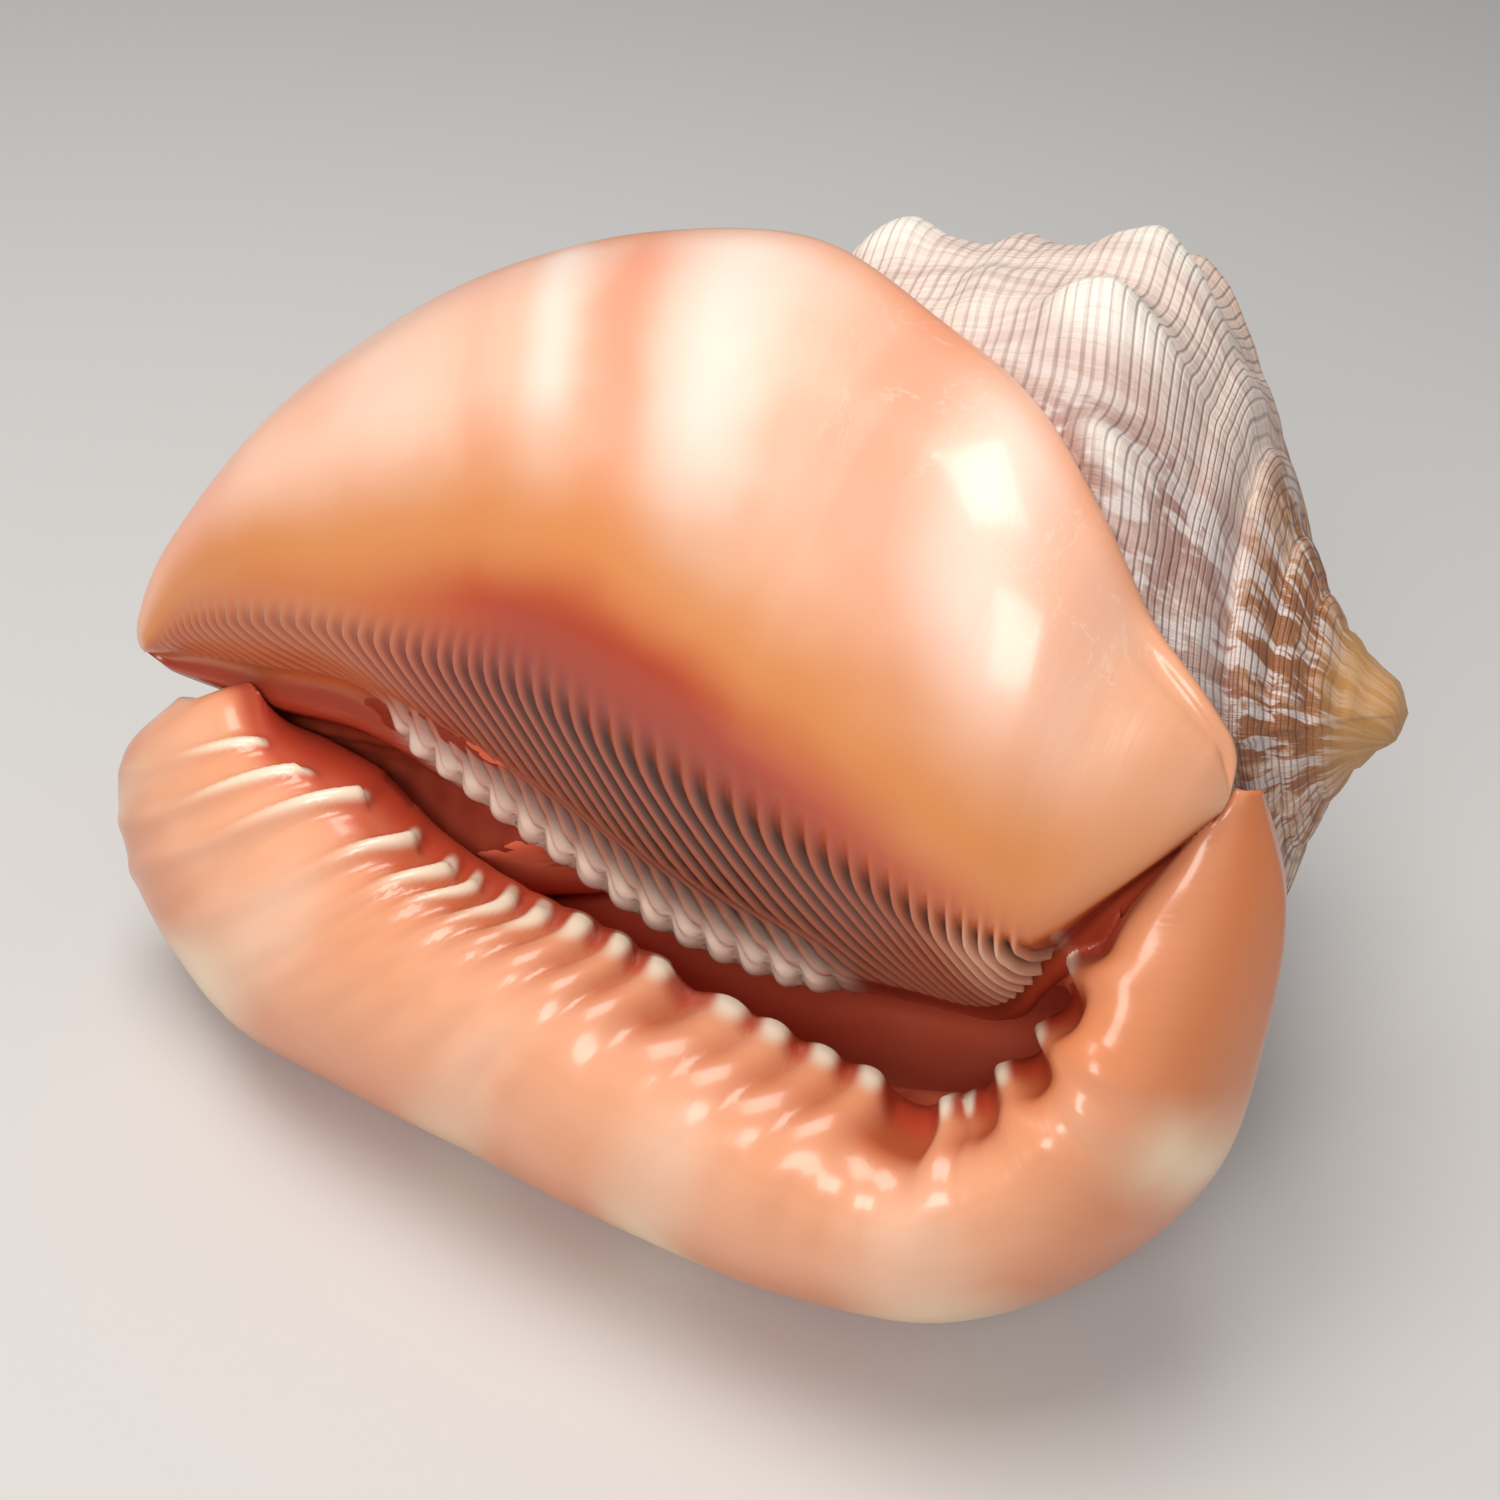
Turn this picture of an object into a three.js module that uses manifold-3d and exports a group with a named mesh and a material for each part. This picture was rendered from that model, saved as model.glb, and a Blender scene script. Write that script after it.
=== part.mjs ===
// Bull-mouth helmet shell, sold as a conch shell. Millimetres, +Z up, lying mouth forward as on a shelf.
// The shell is drawn in its own frame first: x along the coiling axis towards the apex, y towards the
// parietal shield, z out through the mouth. Angles round the axis are turns, 0 at the front (+z), 0.25 at +y.
import * as THREE from "three";
import { mergeVertices } from "three/addons/utils/BufferGeometryUtils.js";
import Module from "manifold-3d";

// ---- driving dimensions ----
// outline of the body whorl and spire seen from the shield side: [x, radius]
const OUTLINE = [
  [3, 0.01], [3.5, 4], [8, 8.5], [20, 17], [40, 30], [60, 39], [78, 45], [92, 48], [106, 48.5], [116, 47],
  [122, 43], [127, 36.5], [130.5, 28], [133.3, 20], [135.8, 12.5], [138, 7.5], [140, 4.6], [142, 3.4],
  [143.2, 0.01],
];
// how the radius grows round the last turn, every twelfth of a turn from the front over the shield side
const GROWTH = [0.72, 0.8, 0.88, 1.0, 1.02, 1.04, 1.05, 1.06, 1.06, 1.06, 0.96, 0.58];
// rows of knobs: position along the axis, knobs per turn, height, half width, start
const KNOB_ROWS = [
  { x: 117.5, count: 17, height: 4.4, width: 10, start: 0.78 },
  { x: 103, count: 18, height: 1.4, width: 5, start: 0.3 },
  { x: 89, count: 15, height: 5.3, width: 9, start: 0.3 },
  { x: 72, count: 13, height: 4.8, width: 7.5, start: 0.5 },
  { x: 56, count: 13, height: 2.6, width: 6, start: 0.5 },
];
// lines of the parietal shield: its outer edge, the start of its folds, and the columella edge
const SHIELD_EDGE = [
  [3, 5.5, 20], [9, 17, 19], [22, 32.5, 16], [37, 42, 14], [52, 48, 12], [67, 50.5, 11], [85, 49, 13],
  [101, 40.5, 20.5], [112.5, 33, 27.5], [120, 23.2, 31], [124.5, 14.5, 30.5], [129, 7, 30.5],
  [132.5, 0.5, 28],
];
const FOLD_START = [
  [5, 4.5, 21], [13, 10, 24], [24, 13, 28], [38, 14, 31], [52, 14.5, 33], [64, 14, 35], [76, 9, 36.5],
  [88, 2.5, 38], [99, -3, 39], [109, -7.5, 38.5], [116, -8.5, 37], [122.5, -4.5, 34], [131.5, 0, 28],
];
const COLUMELLA = [
  [5, 3.5, 18], [13, 3.8, 19], [22, 3.2, 20], [34, 2, 20.5], [46, -5, 20], [58, -13, 18.5],
  [72, -20.5, 18], [86, -24.3, 18], [99, -25.3, 19.5], [109, -24.5, 22], [115, -18, 28.5],
  [122, -10, 30.5], [131, -1, 26],
];
const SHIELD_DOME = 7.5;
const ROPE_BUMPS = 13;
const ROPE_HEIGHT = 0.8;
// lines of the outer lip: its toothed inner edge and its rolled outer edge
const LIP_INNER = [
  [12, -1, 19], [20, 1.5, 21], [26, -4, 24], [38, -8.5, 26], [46.5, -14, 28], [57, -18.5, 30],
  [67.5, -22, 31], [76, -25.8, 31], [88, -30.3, 31], [98.5, -33.8, 31], [105, -36, 31],
  [111.5, -32.5, 30], [116.5, -27.5, 29], [119.5, -19.8, 28], [124, -13, 28], [131.5, -2, 27],
];
const LIP_OUTER = [
  [8, -1, 18], [-0.5, -9, 17], [-2.5, -20.5, 14], [2, -31, 13], [13, -41, 13], [29, -46.5, 13],
  [45, -51, 13], [60, -55.5, 13], [74, -59, 13], [89, -61.5, 13], [105, -60.5, 13], [119, -52.5, 14],
  [129.5, -40.5, 15], [133, -26, 17], [134.3, -13.5, 20], [132.5, -2.5, 25],
];
const LIP_HEIGHT = 15.5;
const LIP_THICK = 16;
const LIP_TEETH = 19;
const TOOTH_HEIGHT = 1.6;
// the hollow: how it narrows from the mouth back round the pillar, and the wall left outside it
const WALL = 3.5;
const HOLLOW_TURNS = 0.62;
const HOLLOW_STEPS = [0, 0.1, 0.2, 0.45, 0.8, 1];
const HOLLOW_FROM = [-6, -4, 14, 30, 52, 78];
const HOLLOW_TO = [122, 121, 117, 113, 108, 92];
const PILLAR_STEPS = [0, 0.1, 0.2, 0.35, 0.6, 0.85, 1];
const PILLAR_SIZE = [0.5, 0.5, 0.52, 0.5, 0.44, 0.42, 0.66];

// the direction, in the shell's own frame, that is upward when it lies at rest
const UPWARD = new THREE.Vector3(0.252435, 0.879505, 0.40342).normalize();

// ---- small helpers ----
const TURN = Math.PI * 2;

function curve(points) {
  const vectors = points.map((p) => new THREE.Vector3(p[0], p[1], p[2] || 0));
  return new THREE.CatmullRomCurve3(vectors, false, "catmullrom", 0.5);
}

function smooth(from, to, value) {
  const t = Math.min(1, Math.max(0, (value - from) / (to - from)));
  return t * t * (3 - 2 * t);
}

function between(steps, values, at) {
  let i = 1;
  while (i < steps.length - 1 && at > steps[i]) i += 1;
  const t = Math.min(1, Math.max(0, (at - steps[i - 1]) / (steps[i] - steps[i - 1])));
  return values[i - 1] + (values[i] - values[i - 1]) * t;
}

function onRing(x, radius, turns) {
  return new THREE.Vector3(x, radius * Math.sin(turns * TURN), radius * Math.cos(turns * TURN));
}

function ringOf(point) {
  const turns = Math.atan2(point.y, point.z) / TURN;
  return { radius: Math.hypot(point.y, point.z), turns: turns - Math.floor(turns) };
}

function move(point, x, y, z) {
  return point.clone().add(new THREE.Vector3(x, y, z));
}

// a grid of points, closed round each row, becomes a solid with a fan at each end
function solidFromRows(rows, { Manifold, Mesh }) {
  const across = rows[0].length;
  const flat = rows.flat();
  const centres = [rows[0], rows[rows.length - 1]].map((row) => {
    const sum = row.reduce((total, p) => total.add(p), new THREE.Vector3());
    return sum.divideScalar(row.length);
  });
  const points = [...flat, ...centres];
  const faces = [];
  for (let r = 0; r < rows.length - 1; r += 1) {
    for (let c = 0; c < across; c += 1) {
      const next = (c + 1) % across;
      const a = r * across + c;
      const b = r * across + next;
      faces.push(a, b, b + across, a, b + across, a + across);
    }
  }
  const last = (rows.length - 1) * across;
  for (let c = 0; c < across; c += 1) {
    const next = (c + 1) % across;
    faces.push(c, flat.length, next);
    faces.push(last + c, last + next, flat.length + 1);
  }
  let geometry = new THREE.BufferGeometry();
  geometry.setAttribute("position", new THREE.Float32BufferAttribute(points.flatMap((p) => p.toArray()), 3));
  geometry.setIndex(faces);
  geometry = mergeVertices(geometry);
  const index = Array.from(geometry.index.array);
  const position = geometry.attributes.position;
  const [a, b, c] = [0, 1, 2].map(() => new THREE.Vector3());
  let volume = 0;
  for (let i = 0; i < index.length; i += 3) {
    a.fromBufferAttribute(position, index[i]);
    b.fromBufferAttribute(position, index[i + 1]);
    c.fromBufferAttribute(position, index[i + 2]);
    volume += a.dot(b.cross(c));
  }
  if (volume < 0) index.reverse();
  return new Manifold(new Mesh({
    numProp: 3,
    vertProperties: new Float32Array(position.array),
    triVerts: new Uint32Array(index),
  }));
}

// ---- body whorl and spire ----
const outlineCurve = curve(OUTLINE);
const outlineSamples = Array.from({ length: 801 }, (_, i) => outlineCurve.getPoint(i / 800));
const outlineX = outlineSamples.map((p) => p.x);
const outlineR = outlineSamples.map((p) => p.y);
const shieldSamples = Array.from({ length: 101 }, (_, i) => curve(SHIELD_EDGE).getPoint(i / 100));
const shieldX = shieldSamples.map((p) => p.x);
const shieldTurns = shieldSamples.map((p) => ringOf(p).turns);
const growthCurve = new THREE.CatmullRomCurve3(
  GROWTH.map((g) => new THREE.Vector3(g, 0, 0)), true, "catmullrom", 0.5,
);

function growth(turns) {
  return growthCurve.getPoint(turns - Math.floor(turns)).x;
}

function plainRadius(x) {
  return Math.max(0.01, between(outlineX, outlineR, x));
}

function bodyRadius(radius, turns) {
  return radius * (1 + (growth(turns) - 1) * smooth(5, 30, radius));
}

function knobs(x, radius, turns) {
  let height = 0;
  const covered = between(shieldX, shieldTurns, x);
  for (const row of KNOB_ROWS) {
    const place = turns * row.count + row.start;
    const pitch = (TURN * radius) / row.count;
    const aside = (place - Math.round(place)) * pitch;
    const along = (x - row.x) / (row.width * 0.62);
    const bare = smooth(covered - 0.01, covered + 0.035, turns) * smooth(0.88, 0.82, turns);
    height += row.height * bare * Math.exp(-(along ** 2) - (aside / (pitch * 0.27)) ** 2);
  }
  return height;
}

function bodyRows(along, round) {
  const rows = [];
  for (let i = 0; i < along; i += 1) {
    const p = outlineCurve.getPoint(i / (along - 1));
    const radius = Math.max(0.01, p.y);
    const row = [];
    for (let j = 0; j < round; j += 1) {
      const turns = j / round;
      row.push(onRing(p.x, bodyRadius(radius, turns) + knobs(p.x, radius, turns), turns));
    }
    rows.push(row);
  }
  return rows;
}

// ---- parietal shield: a domed plate of callus from its outer edge over to the columella ----
function shieldRows(along, across) {
  const [edgeLine, foldLine, columellaLine] = [SHIELD_EDGE, FOLD_START, COLUMELLA].map(curve);
  const rows = [];
  for (let i = 0; i < along; i += 1) {
    const s = i / (along - 1);
    const middle = Math.sin(Math.PI * s);
    const deep = middle ** 0.7;
    const edge = edgeLine.getPoint(s);
    const fold = foldLine.getPoint(s);
    const ropeEnds = smooth(0.2, 0.3, s) * smooth(0.8, 0.75, s);
    const bump = ROPE_HEIGHT * ropeEnds * Math.sin(Math.PI * 2 * ROPE_BUMPS * s);
    const columella = columellaLine.getPoint(s).add(new THREE.Vector3(0, -bump, 0));
    const dome = SHIELD_DOME * middle ** 0.7;
    const proud = new THREE.Vector3(0, 0.55, 0.83);
    const domeOuter = edge.clone().lerp(fold, 0.28).addScaledVector(proud, dome * 0.8);
    const domeInner = edge.clone().lerp(fold, 0.64).addScaledVector(proud, dome * 0.72);
    const thick = 0.6 + 2.6 * smooth(0, 0.06, s) * smooth(1, 0.93, s);
    const outward = edge.clone().sub(domeOuter).normalize();
    const under = new THREE.Vector3(0, -0.35, -0.94);
    const edgeBack = edge.clone().addScaledVector(under, thick).addScaledVector(outward, -1.5);
    const domeBack = domeOuter.clone().addScaledVector(under, 3 + 7 * middle);
    const foldBack = domeInner.clone().lerp(fold, 0.5).addScaledVector(under, 3 + 16 * middle);
    const { radius, turns } = ringOf(columella);
    const inside = onRing(columella.x, radius * (1 - 0.06 * deep), turns - 0.045 * deep - 0.004);
    const deeper = onRing(columella.x, radius * (1 - 0.4 * deep), turns - 0.05 * deep - 0.006);
    const face = move(columella.clone().lerp(fold, 0.5), 0, -0.55 * deep, 2.1 * deep);
    const section = new THREE.CatmullRomCurve3(
      [columella, face, fold, domeInner, domeOuter, edge, edgeBack, domeBack, foldBack, deeper, inside],
      true, "catmullrom", 0.5,
    );
    rows.push(Array.from({ length: across }, (_, j) => section.getPoint(j / across)));
  }
  return rows;
}

// ---- outer lip: a thick rolled band, toothed along the mouth, with a gutter behind ----
function lipRows(along, across) {
  const [innerLine, outerLine] = [LIP_INNER, LIP_OUTER].map(curve);
  const rows = [];
  for (let i = 0; i < along; i += 1) {
    const s = i / (along - 1);
    const deep = Math.sin(Math.PI * s) ** 0.5;
    const inner = innerLine.getPoint(s);
    const outer = outerLine.getPoint(s);
    const swell = Math.sin(Math.PI * (0.01 + 0.985 * s)) ** 0.62;
    const height = LIP_HEIGHT * swell * (1 - 0.3 * smooth(0.8, 1, s));
    const toothed = smooth(0.08, 0.2, s) * smooth(0.97, 0.88, s);
    const tooth = TOOTH_HEIGHT * toothed * Math.cos(TURN * LIP_TEETH * s);
    const around = outer.clone().sub(inner).normalize();
    const tip = inner.clone().addScaledVector(around, -tooth);
    const face = [0.5, 1.05, 1.6, 2.15, 2.7].map((angle) => {
      const lift = height * Math.sin(angle) ** 1.1 + (angle < 1 ? tooth * 0.5 : 0);
      return move(inner.clone().lerp(outer, (1 - Math.cos(angle)) / 2), 0, 0, lift);
    });
    const back = move(outer.clone().lerp(inner, 0.14), 0, 0, -LIP_THICK * deep * (1 - 0.45 * s) - 0.4);
    const gutterX = Math.min(128, Math.max(10, (inner.x + outer.x) / 2));
    const gutterRadius = bodyRadius(plainRadius(gutterX), 0.77) - 2.5;
    const gutter = inner.clone().lerp(onRing(gutterX, gutterRadius, 0.77), 0.02 + 0.98 * deep);
    const { radius, turns } = ringOf(inner);
    const wallOutside = onRing(inner.x, radius + 0.5 + 5 * deep, turns - 0.055 * deep - 0.004);
    const wallInside = onRing(inner.x, radius + 0.2 + 1.2 * deep, turns - 0.022 * deep - 0.003);
    const section = new THREE.CatmullRomCurve3(
      [tip, ...face, outer, back, gutter, wallOutside, wallInside], true, "catmullrom", 0.5,
    );
    rows.push(Array.from({ length: across }, (_, j) => section.getPoint(j / across)));
  }
  return rows;
}

// ---- hollow: from the open air before the mouth back round the pillar, open all the way ----
function hollowRows(along, across) {
  const rows = [];
  const half = across / 2;
  for (let i = 0; i < along; i += 1) {
    const t = i / (along - 1);
    const turns = 0.985 - HOLLOW_TURNS * t;
    const from = between(HOLLOW_STEPS, HOLLOW_FROM, t);
    const to = between(HOLLOW_STEPS, HOLLOW_TO, t);
    const size = turns > 0.83 ? 1.12 : growth(turns);
    const wall = between([0, 0.12, 0.2, 1], [-20, -4, WALL - 0.3, WALL], t);
    const pillar = between(PILLAR_STEPS, PILLAR_SIZE, t);
    const outside = [];
    const inside = [];
    for (let j = 0; j < half; j += 1) {
      const angle = (Math.PI * j) / (half - 1);
      const x = from + ((to - from) * (1 - Math.cos(angle))) / 2;
      const outer = plainRadius(Math.min(128, Math.max(4, x))) * size - wall;
      const inner = Math.min(46, plainRadius(Math.min(116, Math.max(4, x)))) * pillar;
      const open = Math.sin(angle) ** 0.5;
      outside.push(onRing(x, (outer + inner) / 2 + ((outer - inner) / 2) * open, turns));
      inside.push(onRing(x, (outer + inner) / 2 - ((outer - inner) / 2) * open, turns));
    }
    rows.push([...outside, ...inside.reverse().slice(1, -1)]);
  }
  return rows;
}

// ---- join ----
const wasm = await Module();
wasm.setup();
const body = solidFromRows(bodyRows(42, 60), wasm);
const shield = solidFromRows(shieldRows(38, 24), wasm);
const lip = solidFromRows(lipRows(58, 18), wasm);
const hollow = solidFromRows(hollowRows(19, 30), wasm);
const whole = body.subtract(hollow).add(shield).add(lip);
const joined = whole.getMesh();

const geometry = new THREE.BufferGeometry();
geometry.setAttribute("position", new THREE.Float32BufferAttribute(joined.vertProperties, 3));
geometry.setIndex(Array.from(joined.triVerts));

const shellMaterial = new THREE.MeshStandardMaterial({ color: 0xe2a47f, roughness: 0.32, metalness: 0 });
const shell = new THREE.Mesh(geometry, shellMaterial);
shell.name = "shell";

// it lies on the back of its lip and two knobs of the back, with the mouth facing -Y and the apex towards +X
const conchShell = new THREE.Group();
conchShell.add(shell);
const right = new THREE.Vector3(1, 0, 0).addScaledVector(UPWARD, -UPWARD.x).normalize();
const away = new THREE.Vector3().crossVectors(UPWARD, right);
conchShell.setRotationFromMatrix(new THREE.Matrix4().makeBasis(right, away, UPWARD).transpose());
const bounds = new THREE.Box3().setFromObject(conchShell, true);
const middle = bounds.getCenter(new THREE.Vector3());
conchShell.position.set(-middle.x, -middle.y, -bounds.min.z);

export default conchShell;
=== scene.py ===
"""A bull-mouth helmet shell lying mouth forward on a pale floor.

The shell is drawn in its own frame, in millimetres: x along the coiling axis towards the apex, y
towards the parietal shield, z out through the mouth. Angles round the axis are turns, 0 at the front
and 0.25 at the top. The body whorl has the hollow cut out of it, and the shield and the lip are joined
on, as one piece.
"""
import math
import bpy
import numpy as np
from mathutils import Matrix, Vector


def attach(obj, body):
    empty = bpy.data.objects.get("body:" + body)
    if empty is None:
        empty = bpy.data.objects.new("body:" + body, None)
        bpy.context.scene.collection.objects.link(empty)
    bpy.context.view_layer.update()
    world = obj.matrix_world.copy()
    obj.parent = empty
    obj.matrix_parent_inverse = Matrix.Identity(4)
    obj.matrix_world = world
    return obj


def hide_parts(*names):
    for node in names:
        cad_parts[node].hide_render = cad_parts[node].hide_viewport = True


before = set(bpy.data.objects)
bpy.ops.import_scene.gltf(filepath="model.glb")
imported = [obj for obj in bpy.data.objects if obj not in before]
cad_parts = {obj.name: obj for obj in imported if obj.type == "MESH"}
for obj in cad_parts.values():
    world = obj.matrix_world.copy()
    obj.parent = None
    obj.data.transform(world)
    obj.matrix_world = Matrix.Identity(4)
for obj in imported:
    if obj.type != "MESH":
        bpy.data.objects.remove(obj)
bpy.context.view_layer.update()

TURN = 2 * math.pi

# ---------------------------------------------------------------------------------------------------------
# how the shell lies: the shell's own frame to the row frame
# ---------------------------------------------------------------------------------------------------------
UPWARD = np.array([0.252435, 0.879505, 0.40342])
UPWARD = UPWARD / np.linalg.norm(UPWARD)
RIGHT = np.array([1.0, 0.0, 0.0]) - UPWARD * UPWARD[0]
RIGHT = RIGHT / np.linalg.norm(RIGHT)
LYING = np.stack([RIGHT, np.cross(UPWARD, RIGHT), UPWARD])
LIES_AT = np.array([-68.916, 0.125, 29.523])


def lay_down(points):
    """Points of the shell's own frame, in millimetres, as they lie on the floor, in metres."""
    return (np.asarray(points) @ LYING.T + LIES_AT) / 1000.0


# ---------------------------------------------------------------------------------------------------------
# driving dimensions
# ---------------------------------------------------------------------------------------------------------
OUTLINE = [
    (3, 0.01), (3.5, 4), (8, 8.5), (20, 17), (40, 30), (60, 39), (78, 45), (92, 48), (106, 48.5), (116, 47),
    (121.5, 42.5), (125.8, 34.5), (129, 26), (131.6, 19), (134, 13.4), (136.2, 9.4), (138.4, 6.4),
    (140.4, 4.3), (142.1, 3.1), (143.2, 0.01)]
GROWTH = [0.72, 0.80, 0.88, 1.0, 1.02, 1.04, 1.05, 1.06, 1.06, 1.06, 0.96, 0.58]
# knob rows: place along the axis, knobs in a turn, height, half width, start
KNOB_ROWS = [
    (117.5, 17, 4.4, 10, 0.78), (103, 18, 1.4, 5, 0.3), (89, 15, 5.3, 9, 0.3), (72, 13, 4.8, 7.5, 0.5),
    (56, 13, 2.6, 6, 0.5)]
SHIELD_EDGE = [
    (3, 5.5, 20), (9, 17, 19), (22, 32.5, 16), (37, 42, 14), (52, 48, 12), (67, 50.5, 11), (85, 49, 13),
    (101, 40.5, 20.5), (112.5, 33, 27.5), (120, 23.2, 31), (124.5, 14.5, 30.5), (129.5, 8, 31.0),
    (133.6, 1.2, 29.5)]
FOLD_START = [
    (5, 4.5, 21), (13, 10, 24), (24, 13, 28), (38, 14, 31), (52, 14.5, 33), (64, 14, 35), (76, 9, 36.5),
    (88, 2.5, 38), (99, -3.5, 39), (108.5, -9.5, 38), (115.5, -12.5, 36), (122.5, -8.8, 33.5),
    (130.5, -2.5, 31)]
COLUMELLA = [
    (5, 3.5, 18), (13, 3.8, 19), (22, 3.2, 20), (34, 2, 20.5), (46, -5, 20), (58, -13, 18.5),
    (72, -20.5, 18), (86, -24.3, 18), (99, -25.3, 19.5), (108.5, -24.8, 22), (114.5, -18.5, 26.5),
    (121.5, -11.2, 27.5), (129.5, -4.5, 26.5)]
SHIELD_DOME = 7.5
FOLDS = 84
ROPE_LOBES = 15
LIP_INNER = [
    (12, -1, 19), (20, 1.5, 21), (26, -4, 24), (38, -8.5, 26), (46.5, -14, 28), (57, -18.5, 30),
    (67.5, -22, 31), (76, -25.8, 31), (88, -30.3, 31), (98.5, -33.8, 31), (105, -36, 31),
    (111.5, -32.5, 30), (116.5, -27.5, 29), (119.3, -19.8, 28), (123.2, -11.8, 27.5), (131.8, -0.5, 26.5)]
LIP_OUTER = [
    (8, -1, 18), (-0.5, -9, 17), (-2.5, -20.5, 14), (2, -31, 13), (13, -41, 13), (29, -46.5, 13),
    (45, -51, 13), (60, -55.5, 13), (74, -59, 13), (89, -61.5, 13), (105, -60.5, 13), (119, -52.5, 14),
    (129.5, -40.5, 15), (133.8, -26, 17), (135.6, -12.5, 20), (133.8, -0.8, 25)]
LIP_HEIGHT = 15.5
LIP_THICK = 16.0
WALL = 3.5
# rows and columns of each grid
BODY_GRID = (170, 236)
HOLLOW_GRID = (72, 76)
SHIELD_ROWS = 500
LIP_ROWS = 380


# ---------------------------------------------------------------------------------------------------------
# curves and small shapes of numbers
# ---------------------------------------------------------------------------------------------------------
def catmull_rom(a, b, c, d, f):
    """The curve between b and c, at f from 0 to 1."""
    bend = 2 * a - 5 * b + 4 * c - d
    twist = 3 * b - a - 3 * c + d
    return 0.5 * (2 * b + (c - a) * f + bend * f ** 2 + twist * f ** 3)


def along_curve(points, t):
    """Catmull-Rom curve through the points at t from 0 to 1."""
    p = np.asarray(points, float)
    ends = np.vstack([2 * p[0] - p[1], p, 2 * p[-1] - p[-2]])
    t = np.clip(np.asarray(t, float), 0, 1) * (len(p) - 1)
    i = np.minimum(t.astype(int), len(p) - 2)
    f = (t - i)[..., None]
    a, b, c, d = ends[i], ends[i + 1], ends[i + 2], ends[i + 3]
    return catmull_rom(a, b, c, d, f)


def round_curve(points, t):
    """Closed Catmull-Rom curves: points (..., n, 3) at one t, in turns of the curve."""
    n = points.shape[-2]
    t = (t % 1) * n
    i = int(t) % n
    f = t - int(t)
    a, b, c, d = (points[..., (i + k) % n, :] for k in (-1, 0, 1, 2))
    return catmull_rom(a, b, c, d, f)


def smooth(low, high, value):
    t = np.clip((np.asarray(value, float) - low) / (high - low), 0, 1)
    return t * t * (3 - 2 * t)


def bell(value, middle, width):
    return np.exp(-(((value - middle) / width) ** 2))


def ring(x, radius, turns):
    return np.stack([x + 0 * turns, radius * np.sin(TURN * turns), radius * np.cos(TURN * turns)], -1)


def ring_of(points):
    return np.hypot(points[..., 1], points[..., 2]), (np.arctan2(points[..., 1], points[..., 2]) / TURN) % 1


def lift(x, y, z):
    """One offset, or a row of them."""
    return np.stack(np.broadcast_arrays(np.asarray(x, float), np.asarray(y, float), np.asarray(z, float)), -1)


def normals_of(grid):
    """Outward-or-inward normals of a grid that closes round its second direction."""
    down = np.gradient(grid, axis=0)
    over = np.roll(grid, -1, 1) - np.roll(grid, 1, 1)
    n = np.cross(down, over)
    return n / np.maximum(np.linalg.norm(n, axis=-1, keepdims=True), 1e-9)


def faced_out(grid):
    """Normals of a closed tube-like grid, turned to point away from its inside."""
    n = normals_of(grid)
    middle = grid.mean(1, keepdims=True)
    return n if ((grid - middle) * n).sum() > 0 else -n


def stations(counts):
    """Places round a section: so many in each span between its guide points."""
    places = []
    for span, inner in enumerate(counts):
        steps = np.arange(inner) / inner if isinstance(inner, int) else np.asarray(inner)
        places.extend((span + steps) / len(counts))
    return np.asarray(places)


# ---------------------------------------------------------------------------------------------------------
# body whorl and spire
# ---------------------------------------------------------------------------------------------------------
OUTLINE_LINE = along_curve(OUTLINE, np.linspace(0, 1, 2001))


def plain_radius(x):
    return np.interp(x, OUTLINE_LINE[:, 0], OUTLINE_LINE[:, 1])


def growth(turns):
    table = np.asarray(GROWTH, float)
    n = len(table)
    t = (np.asarray(turns, float) % 1) * n
    i = np.floor(t).astype(int) % n
    f = t - np.floor(t)
    a, b, c, d = (table[(i + k) % n] for k in (-1, 0, 1, 2))
    return catmull_rom(a, b, c, d, f)


def body_radius(radius, turns):
    return radius * (1 + (growth(turns) - 1) * smooth(5, 30, radius))


SHIELD_LINE = along_curve(SHIELD_EDGE, np.linspace(0, 1, 400))
SHIELD_TURNS = ring_of(SHIELD_LINE)[1]


def covered(x):
    """Turns to which the shield covers the body."""
    return np.interp(x, SHIELD_LINE[:, 0], SHIELD_TURNS)


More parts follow.
